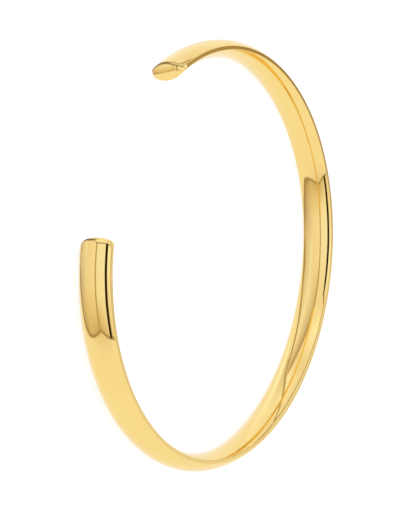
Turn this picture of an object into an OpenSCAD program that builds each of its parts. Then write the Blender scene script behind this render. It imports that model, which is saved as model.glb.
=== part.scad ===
// Oval cuff bangle, a single piece of polished metal, open between its two terminals.
// It lies on its side: Z is the ring's own axis, X the long axis of the oval, and the gap
// faces -Y. The origin is the centre of the oval, on the plane that the lower rim rests on.

/* [Oval] */
// Inside length of the oval, along X
inner_len = 57.8; // [52:0.2:68]
// Inside depth of the oval, along Y
inner_dep = 49.2; // [46:0.2:52]
// Clear width between the two terminals, at the middle of the metal
gap_w = 26.8; // [22:0.2:32]

/* [Band] */
// Width of the band, from rim to rim
band_w = 5.1; // [4:0.1:7]
// Rise of the outer dome above the middle of the rims
dome_out = 1.4; // [1.1:0.05:1.8]
// Rise of the inner dome above the middle of the rims
dome_in = 1.1; // [0.8:0.05:1.4]
// Width of the flat land along each rim
rim_land = 0.4; // [0.2:0.05:0.6]
// Radius of the rounding on both sides of a rim's land
rim_round = 0.15; // [0.1:0.05:0.2]

/* [Terminals] */
// Radius that softens the long edges of a terminal's face
end_edge_r = 0.35; // [0.2:0.05:0.5]
// Radius that softens the corners of a terminal, seen from outside
end_corner_r = 1.2; // [0.6:0.1:1.4]

/* [Hidden] */
$fn = 144;

// The middle line of the metal is an oval of three tangent arcs in each quarter. They meet where
// its outward normal has these directions. Their numbers are short, and so are the radii and the
// centres that follow from them, so that neighbouring arcs meet exactly.
LOW = [0.8, 0.6];
HIGH = [0.6, 0.8];
low_turn = atan2(LOW.y, LOW.x);
high_turn = atan2(HIGH.y, HIGH.x);
half_len = inner_len / 2 + dome_in;
half_dep = inner_dep / 2 + dome_in;
// The shoulder has the radius of an ellipse at 45 degrees, to a tenth, and the other two radii
// follow from the half length and the half depth.
mean_square = (half_len * half_len + half_dep * half_dep) / 2;
shoulder_r = round(10 * pow(half_len * half_dep, 2) / pow(mean_square, 1.5)) / 10;
span_x = half_len - shoulder_r * (LOW.x - HIGH.x);
span_y = half_dep - shoulder_r * (HIGH.y - LOW.y);
arc_det = LOW.y * HIGH.x - (1 - LOW.x) * (1 - HIGH.y);
end_r = (span_y * HIGH.x - span_x * (1 - HIGH.y)) / arc_det;
side_r = (span_x * LOW.y - span_y * (1 - LOW.x)) / arc_det;

// Centres of the arcs of the first quarter
end_c = [half_len - end_r, 0];
shoulder_c = end_c + (end_r - shoulder_r) * LOW;
side_c = [0, half_dep - side_r];

// Half of the gap, as an angle at the centre of the side arc
gap_turn = asin(gap_w / 2 / side_r);
// The band is swept to a whole degree past each terminal and then cut to shape
sweep_turn = floor(gap_turn - 0.5);

// The band's arcs, round from the end at +X. The columns are the arc's centre and radius, the
// quarter turn it is placed at, and how far on from there the outward normal starts and stops.
CENTRE = 0;
RADIUS = 1;
QUARTER = 2;
FROM = 3;
TO = 4;
ARCS = [
    [end_c, end_r, 0, -low_turn, low_turn],
    [shoulder_c, shoulder_r, 0, low_turn, high_turn],
    [side_c, side_r, 90, -low_turn, low_turn],
    [[-shoulder_c.x, shoulder_c.y], shoulder_r, 90, low_turn, high_turn],
    [-end_c, end_r, 180, -low_turn, low_turn],
    [-shoulder_c, shoulder_r, 180, low_turn, high_turn],
    [-side_c, side_r, 270, -low_turn, -sweep_turn],
    [-side_c, side_r, 270, sweep_turn, low_turn],
    [[shoulder_c.x, -shoulder_c.y], shoulder_r, 270, low_turn, high_turn]
];

// The section is a lens of two arcs and a rounding at each corner. A dome's arc ends this far
// inside the roundings, so that they cross cleanly.
half_w = band_w / 2;
rim_v = half_w - rim_round;
rim_u = rim_land / 2;
tuck = 0.004;
tuck_r = rim_round - tuck;
out_rise = dome_out - rim_u - tuck_r;
out_r = (out_rise * out_rise + rim_v * rim_v) / (2 * out_rise) + tuck_r;
out_c = dome_out - out_r;
in_rise = dome_in - rim_u - tuck_r;
in_r = (in_rise * in_rise + rim_v * rim_v) / (2 * in_rise) + tuck_r;
in_c = in_r - dome_in;

// A terminal is shaped over this depth, by a cutter of this size
trim_depth = 1.5;
trim_size = 12;
// An edge's rounding stands out from the metal by this much, so that the two cross cleanly. The
// inner side needs more, because the band bends towards it behind the terminal.
edge_clear = 0.02;
inner_clear = 0.05;

// Half plane wedge between the lines from a rim to where its rounding meets each dome
module lens_wedge() {
    reach = 2 * band_w;
    out_dir = atan2(rim_v, rim_u - out_c);
    in_dir = atan2(rim_v, rim_u + in_c);
    out_far = [rim_u + reach * cos(out_dir), rim_v + reach * sin(out_dir)];
    in_far = [-rim_u - reach * cos(in_dir), rim_v + reach * sin(in_dir)];
    polygon([
        [rim_u, rim_v], out_far, [out_far.x, -out_far.y], [rim_u, -rim_v],
        [-rim_u, -rim_v], [in_far.x, -in_far.y], in_far, [-rim_u, rim_v]
    ]);
}

// One rim: a flat land with a rounding on each side
module rim_section() {
    for (side = [-1, 1])
        translate([side * rim_u, rim_v])
            circle(r = rim_round);
    translate([-rim_u, rim_v - rim_round])
        square([rim_land, 2 * rim_round]);
}

// Section of the band, with X outward from the middle line and Y along the ring's axis
module band_section() {
    intersection() {
        translate([out_c, 0])
            circle(r = out_r);
        translate([in_c, 0])
            circle(r = in_r);
        lens_wedge();
    }
    rim_section();
    mirror([0, 1])
        rim_section();
}

// A stretch of the band about one arc's centre, placed at a quarter turn
module band_arc(centre, radius, quarter, from, to) {
    translate(centre)
        rotate([0, 0, quarter])
            rotate_extrude(angle = to - from, start = from)
                translate([radius, 0])
                    band_section();
}

// A disc about one dome's centre, flat on top at z = 0, with a rounded edge. Its seam is turned
// away from that dome.
module edge_disc(centre, radius, seam) {
    translate([centre, 0, -trim_depth * 2])
        rotate_extrude(start = seam) {
            square([radius - end_edge_r, trim_depth * 2]);
            square([radius, trim_depth * 2 - end_edge_r]);
            translate([radius - end_edge_r, trim_depth * 2 - end_edge_r])
                circle(r = end_edge_r);
        }
}

// A bar across the band, flat on top at z = 0, that rounds the terminal's two corners
module corner_bar() {
    corner_v = half_w + edge_clear - end_corner_r;
    rotate([90, 0, 0])
        rotate([0, 90, 0])
            linear_extrude(trim_size, center = true)
                union() {
                    for (side = [-1, 1])
                        translate([side * corner_v, -end_corner_r])
                            circle(r = end_corner_r);
                    translate([-corner_v, -trim_depth * 2])
                        square([2 * corner_v, trim_depth * 2]);
                    translate([-corner_v - end_corner_r, -trim_depth * 2])
                        square([2 * (corner_v + end_corner_r), trim_depth * 2 - end_corner_r]);
                }
}

// What is cut off at a terminal: all beyond z = 0, and the edges just under it
module terminal_cutter() {
    difference() {
        translate([-trim_size / 2, -trim_size / 2, -trim_depth])
            cube([trim_size, trim_size, trim_size]);
        intersection() {
            edge_disc(out_c, out_r + edge_clear, 180);
            edge_disc(in_c, in_r + inner_clear, 0);
            corner_bar();
        }
    }
}

// One terminal of the two: its own X points outward across the band, and its Z into the gap
module place_terminal(side) {
    translate(-side_c)
        rotate([0, 0, 270 + side * gap_turn])
            translate([side_r, 0, 0])
                rotate([side * 90, 0, 0])
                    children();
}

module cuff_band() {
    color("#f0c75e")
        translate([0, 0, half_w])
            difference() {
                for (arc = ARCS)
                    band_arc(arc[CENTRE], arc[RADIUS], arc[QUARTER], arc[FROM], arc[TO]);
                for (side = [-1, 1])
                    place_terminal(side)
                        terminal_cutter();
            }
}

cuff_band();
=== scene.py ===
"""Looks of the oval cuff bangle: one slim band of mirror-polished yellow gold, lying on its side.

Metres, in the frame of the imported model: Z is the ring's own axis, the gap faces -Y, and the
lower rim rests on Z = 0.
"""
import math

import bpy
from mathutils import Matrix, Vector


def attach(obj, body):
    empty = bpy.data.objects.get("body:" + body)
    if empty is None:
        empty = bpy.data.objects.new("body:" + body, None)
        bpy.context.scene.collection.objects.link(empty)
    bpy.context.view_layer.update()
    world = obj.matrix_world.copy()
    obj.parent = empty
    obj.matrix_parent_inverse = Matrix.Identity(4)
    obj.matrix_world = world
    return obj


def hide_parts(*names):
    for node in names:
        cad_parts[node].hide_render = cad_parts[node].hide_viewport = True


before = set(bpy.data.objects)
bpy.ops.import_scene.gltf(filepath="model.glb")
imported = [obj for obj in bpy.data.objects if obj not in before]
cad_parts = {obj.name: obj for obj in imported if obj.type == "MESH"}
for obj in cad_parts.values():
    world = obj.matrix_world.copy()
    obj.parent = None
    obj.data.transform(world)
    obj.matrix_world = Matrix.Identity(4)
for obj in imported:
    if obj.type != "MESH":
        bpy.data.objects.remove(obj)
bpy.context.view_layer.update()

MM = 0.001

# Oval of the metal's middle line, and how wide its gap is where the terminals are set
HALF_LEN = 29.95 * MM
HALF_DEP = 25.7 * MM
GAP = 26.3 * MM

# Section of the band: half its width, how far the two domes rise above the middle of the rims,
# how much fuller each is than a plain curve, half of a rim's flat land and the rounding beside it
HALF_W = 2.55 * MM
DOME_OUT = 1.4 * MM
DOME_IN = 1.1 * MM
FULL_OUT = 0.12
FULL_IN = 0.0
HALF_LAND = 0.2 * MM
RIM_ROUND = 0.15 * MM

# Middle of the ring, half its height above the floor
MIDDLE = Vector((0, 0, HALF_W))

# Terminals: how deep the shaped stretch is, the radius of the crown across the band and of the
# edge round the face
END_DEPTH = 2.4 * MM
END_CROWN_R = 7.6 * MM
END_EDGE = 0.1 * MM

# The bevel on a terminal's outer edge: its slope, and where across the band, on the way to the
# upper rim, it starts and is full
BEVEL_SLOPE = 0.6
BEVEL_START = 0.5 * MM
BEVEL_FULL = 1.3 * MM

# The two terminals are filed by hand and differ a little. The columns are how far the face stands
# on into the gap, the radii of the lower and the upper corner, the place across the band where
# the crown is highest, and the pillow across the metal: its radius, and the height where it is
# highest.
END_FACES = {
    -1: (0.05 * MM, 2.2 * MM, 0.5 * MM, -0.2 * MM, 1.6 * MM, 0.2 * MM),
    1: (-0.05 * MM, 0.6 * MM, 1.2 * MM, -0.4 * MM, 3.0 * MM, -0.35 * MM),
}

# The width of a terminal's bevel, and how much painted reflection line lies on the face's side of it
END_BEVELS = {
    -1: (0.4 * MM, 0.0),
    1: (0.12 * MM, 0.7),
}

# Painted reflection: a darker line painted into the colour along the outer edges of a terminal,
# standing in for the dark edge that the room reflects there. Its width on the skin, and how
# steeply it sets in where the skin begins to face outward
DARK_REFLECTION_WIDTH = 0.08 * MM
DARK_REFLECTION_RISE = 4

# Gold: its two tones, the colour of the painted dark reflection line at the terminals, the range
# of its roughness and the height of its ripple. The scales are those of the clouds of tone, of the
# hairlines, which run along the band, and of the ripple, for each metre. A noise varies between its
# low and its high value.
GOLD_PALE = (0.955, 0.714, 0.265)
GOLD_DEEP = (0.935, 0.690, 0.250)
# Painted reflection: the dark tone painted along the terminals' outer edges
DARK_REFLECTION_TONE = (0.26, 0.15, 0.04)
SMOOTHEST = 0.03
ROUGHEST = 0.07
RIPPLE_HEIGHT = 0.0005 * MM
RIPPLE_STRENGTH = 0.5
CLOUD_SCALE = 120.0
HAIR_SCALE = (60.0, 60.0, 6000.0)
RIPPLE_SCALE = 900.0
NOISE_LOW = 0.3
NOISE_HIGH = 0.7

# Floor, a light table: half its size, its grey, its roughness and the light that it gives itself
FLOOR_HALF = 3.0
FLOOR_GREY = 0.25
FLOOR_ROUGHNESS = 0.6
FLOOR_GLOW = 0.8

# Soft box over the floor: its size, height and power
BOX_SIZE = 1.2
BOX_HEIGHT = 1.0
BOX_POWER = 5.0

# Tints of light, as red, green and blue, with 1 for the white of the room
BLACK = (0.02, 0.01, 0.0)
UMBER = (0.28, 0.18, 0.08)
BROWN = (0.45, 0.37, 0.25)
DUSK = (0.56, 0.50, 0.55)
OLIVE = (0.60, 0.50, 0.36)
TAN = (0.72, 0.63, 0.52)
SAND = (0.85, 0.76, 0.64)
CREAM = (0.93, 0.90, 0.94)
WHITE = (1.0, 1.0, 1.0)
COOL = (1.0, 1.06, 1.25)
BRIGHT = (1.12, 1.22, 1.4)

# Ribbons: the dark gap and the dark edges between the panels. The columns are the name, the
# distance in millimetres, the tints of the first side, the middle and the other side, and the
# points: azimuth, elevation and width in degrees.
RIBBONS = (
    ("slit", 150, BLACK, BLACK, BLACK, (
        (-99, 28, 3), (-92, 29, 5.5), (-80, 30.5, 7), (-60, 31.3, 7), (-45, 31.3, 7),
        (-28.5, 31.3, 6))),
    ("edge_right", 196, BROWN, BROWN, BROWN, (
        (-8, 60, 2), (-24, 46, 1.8), (-28.5, 32, 1.5), (-31, 21, 1.5), (-33.5, 12, 1.7),
        (-35, 3, 1.7), (-34, -8, 1.8), (-32.5, -18, 1.4), (-30.5, -30, 1.4), (-28, -43, 1.8),
        (-26, -52, 2.4), (-23, -61, 2.8), (-18, -71, 4), (-14, -81.5, 5), (7, -87.5, 5.5),
        (139, -84.5, 6), (157, -81, 7), (-168, -79.5, 8), (-147, -76, 8))),
    ("edge_left", 197, UMBER, OLIVE, CREAM, (
        (-147, -76, 8), (-139, -71, 7.5), (-132, -62, 7.5), (-135, -54, 8.5), (-140, -48, 8),
        (-143, -37, 5), (-143, -27, 3.5), (-144, -17, 3.4), (-146.5, -9, 3.4), (-150, -1, 3.4),
        (-156, 6, 3.2), (-165, 12, 3))),
    ("edge_top", 198, TAN, UMBER, BROWN, (
        (-185, 9, 3.5), (-165, 14, 3.5), (-150, 20, 3.5), (-135, 27, 3.5), (-120, 32, 3.5),
        (-104, 34, 3), (-98, 29, 3))),
    ("horizon", 199, OLIVE, OLIVE, BROWN, (
        (-142, -28.5, 6), (-138, -27.5, 6.5), (-130, -23, 6.5), (-121.5, -16, 6.5),
        (-114, -9, 6.5), (-107, -4, 6.5), (-100, -1, 6.5), (-90, -0.5, 6.5), (-78, -2, 5.5),
        (-62, -3.5, 5.5), (-50, -3, 5.5), (-42, -1.5, 5.5), (-36, 0, 5))),
)

# Panels of light. The columns of a panel's upright lines are the azimuth, elevation and tint at
# the foot, and the same at the head.
PANELS = (
    ("back_dark", 201, (
        (121, 24, SAND, 121, 46, CREAM), (128, 24, DUSK, 128, 46, TAN),
        (143, 24, UMBER, 143, 46, OLIVE), (165, 24, OLIVE, 165, 46, OLIVE))),
    ("high", 202, (
        (-104, 34, CREAM, -104, 60, CREAM), (-80, 30, BRIGHT, -80, 60, BRIGHT),
        (-28, 33, SAND, -20, 60, WHITE))),
    ("high_left", 203, (
        (-185, 9, CREAM, -185, 60, WHITE), (-150, 20, COOL, -150, 60, BRIGHT),
        (-120, 32, BRIGHT, -120, 60, BRIGHT), (-104, 34, CREAM, -104, 60, CREAM))),
    ("wall", 204, (
        (-156, 6, WHITE, -156, 12, CREAM), (-148, -5, BRIGHT, -148, 20, CREAM),
        (-143, -27, BRIGHT, -143, 24, CREAM), (-130, -23, CREAM, -130, 28, CREAM),
        (-114, -9, WHITE, -114, 33, BRIGHT), (-100, -1, WHITE, -100, 28, CREAM),
        (-70, -3, COOL, -70, 34, COOL), (-50, -3, WHITE, -50, 35, COOL),
        (-42, -1, TAN, -38, 35, WHITE), (-35, 1, OLIVE, -28, 35, SAND))),
    ("table_far", 205, (
        (-143, -45, TAN, -142, -29, TAN), (-130, -45, WHITE, -130, -23, DUSK),
        (-114, -45, WHITE, -114, -9, DUSK), (-100, -45, COOL, -100, -1, TAN),
        (-78, -45, CREAM, -78, -2, WHITE), (-55, -45, CREAM, -55, -3, WHITE),
        (-42, -45, SAND, -42, -2, SAND), (-28, -45, TAN, -35, 0, OLIVE))),
    ("table_near", 206, (
        (-137, -90, TAN, -143, -45, TAN), (-130, -90, TAN, -130, -45, COOL),
        (-78, -90, TAN, -78, -45, COOL), (-55, -90, DUSK, -55, -45, CREAM),
        (-42, -90, DUSK, -42, -45, SAND), (-12, -90, DUSK, -28, -45, OLIVE))),
    ("table_foot", 207, (
        (-20, -90, SAND, -20, -75, TAN), (7, -90, SAND, 7, -87, SAND),
        (140, -90, SAND, 140, -84, SAND), (192, -90, SAND, 192, -80, SAND),
        (225, -90, SAND, 225, -72, SAND))),
    ("left", 208, (
        (-185, -70, BRIGHT, -185, 9, WHITE), (-165, -62, BRIGHT, -165, 10, CREAM),
        (-150, -52, TAN, -150, 0, BRIGHT), (-143, -48, CREAM, -143, -27, TAN))),
    ("back", 209, (
        (70, 8, WHITE, 70, 75, WHITE), (90, -6, WHITE, 90, 75, WHITE),
        (125, -14, CREAM, 125, 75, DUSK), (155, -7, BRIGHT, 155, 75, BRIGHT))),
    ("right_shade", 210, (
        (-36, -60, SAND, -36, 30, SAND), (-27, -60, WHITE, -27, 30, CREAM),
        (-18, -60, WHITE, -18, 30, WHITE), (-5, -60, WHITE, -5, 30, WHITE))),
)

# How finely the band is divided: along it, over each dome, over each rounding, over a bevel and
# over an end, and between an end and the sweep
SWEEP_STEPS = 360
DOME_STEPS = 28
RIM_STEPS = 8
EDGE_STEPS = 5
BEVEL_STEPS = 4
FACE_STEPS = 16
BLEND_STEPS = 14

# Where the search for a dome's edge starts, as an angle, and how often it goes round
FIRST_TURN = 0.5
TURN_STEPS = 40

# How finely a panel of light is divided between two of its lines
PANEL_STEPS = 8

# The camera, as angles round the ring's own axis. It is turned so that the axis lies across
# the picture.
VIEW_AZIMUTH = math.radians(-56.01)
VIEW_ELEVATION = math.radians(35.60)
VIEW_ROLL = math.radians(88.52)
VIEW_DISTANCE = 183.85 * MM
VIEW_RIGHT = -2.14 * MM
VIEW_UP = -0.62 * MM
SENSOR = 36.0
LENS = 91.96


def blend(a, b, t):
    """What lies that share of the way between two rows of numbers."""
    return tuple(x + (y - x) * t for x, y in zip(a, b))


# Section

def dome_edge(top, fullness):
    """Where a dome meets the rounding of a rim: place along the axis, height, and normal's turn.

    Each of these follows from the others, so they are found by going round a few times.
    """
    turn = FIRST_TURN
    for i in range(TURN_STEPS):
        edge = HALF_W - RIM_ROUND + RIM_ROUND * math.sin(turn)
        foot = HALF_LAND + RIM_ROUND * math.cos(turn)
        turn = math.atan(2 * (1 + fullness) * (top - foot) / edge)
    return edge, foot, turn


def half_section(top, fullness):
    """Points and normals of one side of the section, from the upper rim's middle to the lower's.

    Each is a pair (height above the rims' middle, place along the ring's axis). A fuller dome
    is flatter in the middle and rounder towards its rims.
    """
    edge, foot, turn = dome_edge(top, fullness)
    upper = [((0.0, HALF_W), (0.0, 1.0))]
    for i in range(RIM_STEPS):
        a = math.pi / 2 + (turn - math.pi / 2) * i / RIM_STEPS
        n = (math.cos(a), math.sin(a))
        upper.append(((HALF_LAND + RIM_ROUND * n[0], HALF_W - RIM_ROUND + RIM_ROUND * n[1]), n))
    dome = []
    for i in range(DOME_STEPS + 1):
        t = 1 - 2 * i / DOME_STEPS
        slope = (top - foot) / edge * (2 * (1 - fullness) * t + 4 * fullness * t**3)
        height = foot + (top - foot) * (1 - (1 - fullness) * t**2 - fullness * t**4)
        size = math.hypot(1, slope)
        dome.append(((height, edge * t), (1 / size, slope / size)))
    lower = [((p[0], -p[1]), (n[0], -n[1])) for p, n in reversed(upper)]
    return upper + dome + lower


def band_section():
    """The section as a closed loop of points and normals, the first half of it being its outside."""
    outer = half_section(DOME_OUT, FULL_OUT)
    inner = [((-p[0], p[1]), (-n[0], n[1])) for p, n in half_section(DOME_IN, FULL_IN)]
    return outer + inner[-2:0:-1]


# Middle line

def oval_point(turn):
    """Point of the oval whose outward normal is so far round from X, and that normal."""
    c, s = math.cos(turn), math.sin(turn)
    size = math.hypot(HALF_LEN * c, HALF_DEP * s)
    return Vector((HALF_LEN**2 * c / size, HALF_DEP**2 * s / size, 0)), Vector((c, s, 0))


def oval_radius(turn):
    """Radius of curvature of the oval at such a point."""
    size = math.hypot(HALF_LEN * math.cos(turn), HALF_DEP * math.sin(turn))
    return (HALF_LEN * HALF_DEP)**2 / size**3


def gap_turn():
    """Angle between -Y and the oval's normal at a terminal."""
    half = GAP / 2
    return math.atan2(half * HALF_DEP, HALF_LEN * math.sqrt(HALF_LEN**2 - half**2))


# Terminals

def end_depth(u, v, side):
    """How far a terminal's domed face lies back from its foremost point."""
    reach, low, high, crown_v, pillow_r, pillow_u = END_FACES[side]
    radius = high if v > 0 else low
    corner = max(0.0, abs(v) - (HALF_W - radius))
    back = radius - math.sqrt(max(0.0, radius**2 - corner**2))
    crown = (v - crown_v)**2 / (2 * END_CROWN_R)
    return back + crown + (u - pillow_u)**2 / (2 * pillow_r) - reach


def bevel_share(v, nu):
    """How much of the bevel there is at a place on the section's loop, from 0 to 1."""
    t = min(1.0, max(0.0, (v - BEVEL_START) / (BEVEL_FULL - BEVEL_START)))
    return t * t * (3 - 2 * t) if nu > 0 else 0.0


def edge_profile(back):
    """Steps from the skin round a terminal's edge: (inset into the metal, distance back)."""
    inset = back * BEVEL_SLOPE
    steps = []
    for k in range(BEVEL_STEPS + 1):
        t = k / BEVEL_STEPS
        steps.append((inset * t, END_EDGE + back * (1 - t)))
    for k in range(1, EDGE_STEPS + 1):
        a = math.pi / 2 * k / EDGE_STEPS
        steps.append((inset + END_EDGE * (1 - math.cos(a)), END_EDGE * (1 - math.sin(a))))
    return steps


def painted_reflection_amounts(loop, amount, bevel_amount):
    """How much of the painted dark reflection line each point of a ring gets, on its outer side:
    plainly, and where the bevel is.
    """
    result = []
    for (u, v), (nu, nv) in loop:
        share = bevel_share(v, nu)
        here = amount + (bevel_amount - amount) * share
        result.append(max(0.0, here) * min(1.0, max(0.0, DARK_REFLECTION_RISE * nu)))
    return result


def edge_rows(loop, side):
    """Rings of points round a terminal's edge, from the skin to the face.

    A point is (height, place across the band, distance back from the terminal's end).
    """
    bevel = END_BEVELS[side][0]
    profiles = [edge_profile(bevel * bevel_share(v, nu)) for (u, v), (nu, nv) in loop]
    rows = []
    for k in range(len(profiles[0])):
        row = []
        for ((u, v), (nu, nv)), steps in zip(loop, profiles):
            inset, back = steps[k]
            pu, pv = u - nu * inset, v - nv * inset
            row.append((pu, pv, end_depth(pu, pv, side) + back))
        rows.append(row)
    return rows


def end_rings(loop, side):
    """All rings of a terminal, from the sweep to the face, each with the amounts of painted dark
    reflection line of its points.
    """
    rows = edge_rows(loop, side)
    rings = []
    for j in range(BLEND_STEPS - 1, 0, -1):
        t = (j / BLEND_STEPS)**2
        row = [(u, v, e + (END_DEPTH - e) * t) for u, v, e in rows[0]]
        amount = 1 - (row[0][2] - rows[0][0][2]) / DARK_REFLECTION_WIDTH
        rings.append((row, painted_reflection_amounts(loop, amount, amount)))
    beyond = END_BEVELS[side][1]
    for k, row in enumerate(rows):
        if k == 0:
            rings.append((row, painted_reflection_amounts(loop, 1.0, 1.0)))
        elif k < BEVEL_STEPS:
            rings.append((row, painted_reflection_amounts(loop, 0.0, 0.0)))
        else:
            rings.append((row, painted_reflection_amounts(loop, 1.0, beyond)))
    return rings


def face_lines(edge, first, side, place, verts):
    """Lines of points over a terminal's face, from the outer half of its edge to the inner half.

    The edge is a ring whose first point has that index. Each line goes from the upper rim to the
    lower, and the points between the two halves are added to the others.
    """
    count = len(edge)
    half = count // 2
    lines = [[first + i for i in range(half + 1)]]
    for k in range(1, FACE_STEPS):
        line = [first]
        for i in range(1, half):
            u, v = blend(edge[i][:2], edge[count - i][:2], k / FACE_STEPS)
            verts.append(place(u, v, end_depth(u, v, side)))
            line.append(len(verts) - 1)
        lines.append(line + [first + half])
    lines.append([first] + [first + count - i for i in range(1, half + 1)])
    return lines


def add_terminal(loop, turn, side, verts, faces, painted_dark_reflection):
    """Adds a terminal's points, amounts of painted dark reflection line and face, and returns where
    each of its rings starts.
    """
    bend = 1 / oval_radius(turn)

    def place(u, v, e):
        centre, normal = oval_point(turn - side * e * bend)
        return centre + normal * u + Vector((0, 0, v + HALF_W))

    starts = []
    for row, amounts in end_rings(loop, side):
        starts.append(len(verts))
        verts.extend(place(*p) for p in row)
        painted_dark_reflection.update(zip(range(starts[-1], len(verts)), amounts))
    lines = face_lines(row, starts[-1], side, place, verts)
    for a, b in zip(lines, lines[1:]):
        for i in range(len(a) - 1):
            quad = [a[i], a[i + 1], b[i + 1], b[i]]
            quad = [q for j, q in enumerate(quad) if q != quad[j - 1]]
            faces.append(quad if side > 0 else quad[::-1])
    return starts


def make_band():
    """The whole band as one closed mesh: a swept skin, and a domed face on each terminal."""
    loop = band_section()
    count = len(loop)
    turn0 = -math.pi / 2 + gap_turn()
    turn1 = 3 * math.pi / 2 - gap_turn()
    verts, faces, painted_dark_reflection = [], [], {}
    first = add_terminal(loop, turn0, -1, verts, faces, painted_dark_reflection)
    last = add_terminal(loop, turn1, 1, verts, faces, painted_dark_reflection)
    reach = END_DEPTH / oval_radius(turn0)
    rings = []
    for i in range(SWEEP_STEPS + 1):
        t = turn0 + reach + (turn1 - turn0 - 2 * reach) * i / SWEEP_STEPS
        centre, normal = oval_point(t)
        rings.append(len(verts))
        verts.extend(centre + normal * u + Vector((0, 0, v + HALF_W)) for (u, v), n in loop)
    chain = first[::-1] + rings + last
    for a, b in zip(chain, chain[1:]):
        for i in range(count):
            j = (i + 1) % count
            faces.append([a + i, a + j, b + j, b + i])
    mesh = bpy.data.meshes.new("cuff_gold")
    mesh.from_pydata([v[:] for v in verts], [], faces)
    mesh.validate()
    mesh.update()
    for f in mesh.polygons:
        f.use_smooth = True
    # Painted reflection: each point's amount of the dark line painted along the terminals' edges
    layer = mesh.attributes.new("painted_dark_reflection", "FLOAT", "POINT")
    for index, amount in painted_dark_reflection.items():
        layer.data[index].value = amount
    obj = bpy.data.objects.new("cuff_gold", mesh)
    bpy.context.scene.collection.objects.link(obj)
    return obj


# Materials

def gold():
    """Mirror-polished gold with faint hairlines along the band and a painted dark reflection line
    along the edges of the terminals.
    """
    mat = bpy.data.materials.new("polished_gold")
    mat.use_nodes = True
    nodes, links = mat.node_tree.nodes, mat.node_tree.links
    nodes.clear()
    out = nodes.new("ShaderNodeOutputMaterial")
    shader = nodes.new("ShaderNodeBsdfPrincipled")
    shader.inputs["Metallic"].default_value = 1.0
    links.new(shader.outputs["BSDF"], out.inputs["Surface"])
    place = nodes.new("ShaderNodeTexCoord")

    def noise(scale, detail):
        node = nodes.new("ShaderNodeTexNoise")
        node.inputs["Scale"].default_value = scale
        node.inputs["Detail"].default_value = detail
        links.new(place.outputs["Object"], node.inputs["Vector"])
        return node

    def spread(source, low, high):
        node = nodes.new("ShaderNodeMapRange")
        node.inputs["From Min"].default_value = NOISE_LOW
        node.inputs["From Max"].default_value = NOISE_HIGH
        node.inputs["To Min"].default_value = low
        node.inputs["To Max"].default_value = high
        links.new(source, node.inputs["Value"])
        return node.outputs["Result"]

    cloud = noise(CLOUD_SCALE, 2.0)
    tone = nodes.new("ShaderNodeMix")
    tone.data_type = "RGBA"
    tone.inputs[6].default_value = (*GOLD_PALE, 1)
    tone.inputs[7].default_value = (*GOLD_DEEP, 1)
    links.new(spread(cloud.outputs["Fac"], 0.0, 1.0), tone.inputs[0])
    # Painted reflection: a dark line mixed into the colour along the terminals' outer edges
    painted_dark_reflection = nodes.new("ShaderNodeAttribute")
    painted_dark_reflection.attribute_name = "painted_dark_reflection"
    painted_reflection_mix = nodes.new("ShaderNodeMix")
    painted_reflection_mix.data_type = "RGBA"
    painted_reflection_mix.inputs[7].default_value = (*DARK_REFLECTION_TONE, 1)
    links.new(painted_dark_reflection.outputs["Fac"], painted_reflection_mix.inputs[0])
    links.new(tone.outputs[2], painted_reflection_mix.inputs[6])
    links.new(painted_reflection_mix.outputs[2], shader.inputs["Base Color"])

    hairs = noise(1.0, 3.0)
    stretch = nodes.new("ShaderNodeMapping")
    stretch.inputs["Scale"].default_value = HAIR_SCALE
    links.new(place.outputs["Object"], stretch.inputs["Vector"])
    links.new(stretch.outputs["Vector"], hairs.inputs["Vector"])
    links.new(spread(hairs.outputs["Fac"], SMOOTHEST, ROUGHEST), shader.inputs["Roughness"])
    ripple = nodes.new("ShaderNodeBump")
    ripple.inputs["Strength"].default_value = RIPPLE_STRENGTH
    ripple.inputs["Distance"].default_value = RIPPLE_HEIGHT
    links.new(noise(RIPPLE_SCALE, 1.0).outputs["Fac"], ripple.inputs["Height"])
    links.new(ripple.outputs["Normal"], shader.inputs["Normal"])
    return mat


def light_table():
    """Plain white floor that is lit evenly from below, so that it keeps only a faint shade."""
    mat = bpy.data.materials.new("floor_light_table")
    mat.use_nodes = True
    shader = mat.node_tree.nodes["Principled BSDF"]
    shader.inputs["Base Color"].default_value = (FLOOR_GREY, FLOOR_GREY, FLOOR_GREY, 1)
    shader.inputs["Roughness"].default_value = FLOOR_ROUGHNESS
    shader.inputs["Emission Color"].default_value = (1, 1, 1, 1)
    shader.inputs["Emission Strength"].default_value = FLOOR_GLOW
    return mat


def glow(name):
    """Light of the tint that each sheet carries."""
    mat = bpy.data.materials.new(name)
    mat.use_nodes = True
    nodes, links = mat.node_tree.nodes, mat.node_tree.links
    nodes.clear()
    out = nodes.new("ShaderNodeOutputMaterial")
    light = nodes.new("ShaderNodeEmission")
    tint = nodes.new("ShaderNodeAttribute")
    tint.attribute_name = "light"
    links.new(tint.outputs["Color"], light.inputs["Color"])
    links.new(light.outputs["Emission"], out.inputs["Surface"])
    return mat


# Studio

def around(azimuth, elevation, distance):
    """Point that far from the ring's middle, in a direction given in degrees."""
    a, e = math.radians(azimuth), math.radians(elevation)
    out = Vector((math.cos(e) * math.cos(a), math.cos(e) * math.sin(a), math.sin(e)))
    return MIDDLE + out * distance * MM


def sheet(name, points, tints, faces, material):
    """A sheet of light round the ring, that only the polished metal sees."""
    mesh = bpy.data.meshes.new(name)
    mesh.from_pydata([p[:] for p in points], [], faces)
    layer = mesh.color_attributes.new("light", "FLOAT_COLOR", "POINT")
    for item, tint in zip(layer.data, tints):
        item.color = (*tint, 1)
    mesh.materials.append(material)
    obj = bpy.data.objects.new(name, mesh)
    bpy.context.scene.collection.objects.link(obj)
    obj.visible_camera = False
    obj.visible_diffuse = False
    obj.visible_shadow = False


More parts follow.
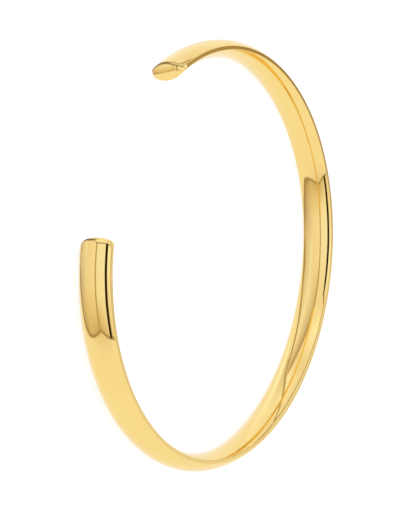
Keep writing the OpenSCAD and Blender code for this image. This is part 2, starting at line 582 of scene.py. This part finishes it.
def ribbon(name, distance, first, middle, other, path, material):
    """A narrow sheet along a path, with a tint for each side and one for its middle."""
    points, tints, faces = [], [], []
    places = [around(azimuth, elevation, distance) for azimuth, elevation, width in path]
    for i, (azimuth, elevation, width) in enumerate(path):
        out = places[i] - MIDDLE
        along = places[min(i + 1, len(path) - 1)] - places[max(i - 1, 0)]
        side = along.cross(out).normalized() * out.length * math.tan(math.radians(width / 2))
        points += [places[i] - side, places[i], places[i] + side]
        tints += [first, middle, other]
    for i in range(len(path) - 1):
        p, q = 3 * i, 3 * i + 3
        faces += [(p, q, q + 1), (p, q + 1, p + 1), (p + 1, q + 1, q + 2), (p + 1, q + 2, p + 2)]
    sheet(name, points, tints, faces, material)


def panel(name, distance, lines, material):
    """A wide sheet between upright lines, whose tint changes evenly from line to line."""
    points, tints, faces = [], [], []
    row = PANEL_STEPS + 1
    for a, b in zip(lines, lines[1:]):
        start = len(points)
        for i in range(row):
            t = i / PANEL_STEPS
            foot_azimuth, foot_elevation = blend(a[0:2], b[0:2], t)
            foot, head = blend(a[2], b[2], t), blend(a[5], b[5], t)
            head_azimuth, head_elevation = blend(a[3:5], b[3:5], t)
            for k in range(row):
                s = k / PANEL_STEPS
                azimuth, elevation = blend((foot_azimuth, foot_elevation),
                                           (head_azimuth, head_elevation), s)
                points.append(around(azimuth, elevation, distance))
                tints.append(blend(foot, head, s))
        for i in range(PANEL_STEPS):
            for k in range(PANEL_STEPS):
                p = start + i * row + k
                faces.append((p, p + row, p + row + 1, p + 1))
    sheet(name, points, tints, faces, material)


def studio():
    """White floor and room, a soft box, and the sheets of light round the ring."""
    corners = [(x * FLOOR_HALF, y * FLOOR_HALF, 0) for x, y in ((-1, -1), (1, -1), (1, 1), (-1, 1))]
    mesh = bpy.data.meshes.new("floor")
    mesh.from_pydata(corners, [], [(0, 1, 2, 3)])
    mesh.materials.append(light_table())
    floor = bpy.data.objects.new("floor", mesh)
    bpy.context.scene.collection.objects.link(floor)
    floor.visible_glossy = False
    world = bpy.data.worlds.new("studio_world")
    bpy.context.scene.world = world
    world.use_nodes = True
    world.node_tree.nodes["Background"].inputs["Color"].default_value = (1, 1, 1, 1)
    world.node_tree.nodes["Background"].inputs["Strength"].default_value = 1.0
    data = bpy.data.lights.new("soft_box", "AREA")
    data.shape = "SQUARE"
    data.size = BOX_SIZE
    data.energy = BOX_POWER
    lamp = bpy.data.objects.new("soft_box", data)
    lamp.location = (0, 0, BOX_HEIGHT)
    lamp.visible_glossy = False
    bpy.context.scene.collection.objects.link(lamp)
    material = glow("studio_light")
    for name, distance, first, middle, other, path in RIBBONS:
        ribbon(name, distance, first, middle, other, path, material)
    for name, distance, lines in PANELS:
        panel(name, distance, lines, material)


def camera():
    """The camera, at its angle and distance from the ring's middle, and rolled on its side."""
    back = Vector((math.cos(VIEW_ELEVATION) * math.cos(VIEW_AZIMUTH),
                   math.cos(VIEW_ELEVATION) * math.sin(VIEW_AZIMUTH),
                   math.sin(VIEW_ELEVATION)))
    level_right = Vector((-math.sin(VIEW_AZIMUTH), math.cos(VIEW_AZIMUTH), 0))
    level_up = back.cross(level_right)
    right = level_right * math.cos(VIEW_ROLL) + level_up * math.sin(VIEW_ROLL)
    up = back.cross(right)
    data = bpy.data.cameras.new("camera")
    data.sensor_width = SENSOR
    data.sensor_height = SENSOR
    data.sensor_fit = "AUTO"
    data.lens = LENS
    data.clip_start = 0.01
    data.clip_end = 20
    obj = bpy.data.objects.new("camera", data)
    bpy.context.scene.collection.objects.link(obj)
    place = MIDDLE + back * VIEW_DISTANCE + right * VIEW_RIGHT + up * VIEW_UP
    turn = Matrix((right, up, back)).transposed().to_4x4()
    obj.matrix_world = Matrix.Translation(place) @ turn
    bpy.context.scene.camera = obj


camera()
studio()
band = make_band()
band.data.materials.append(gold())
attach(band, "root")
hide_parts("cuff_band")

bpy.context.scene.view_settings.view_transform = "Standard"
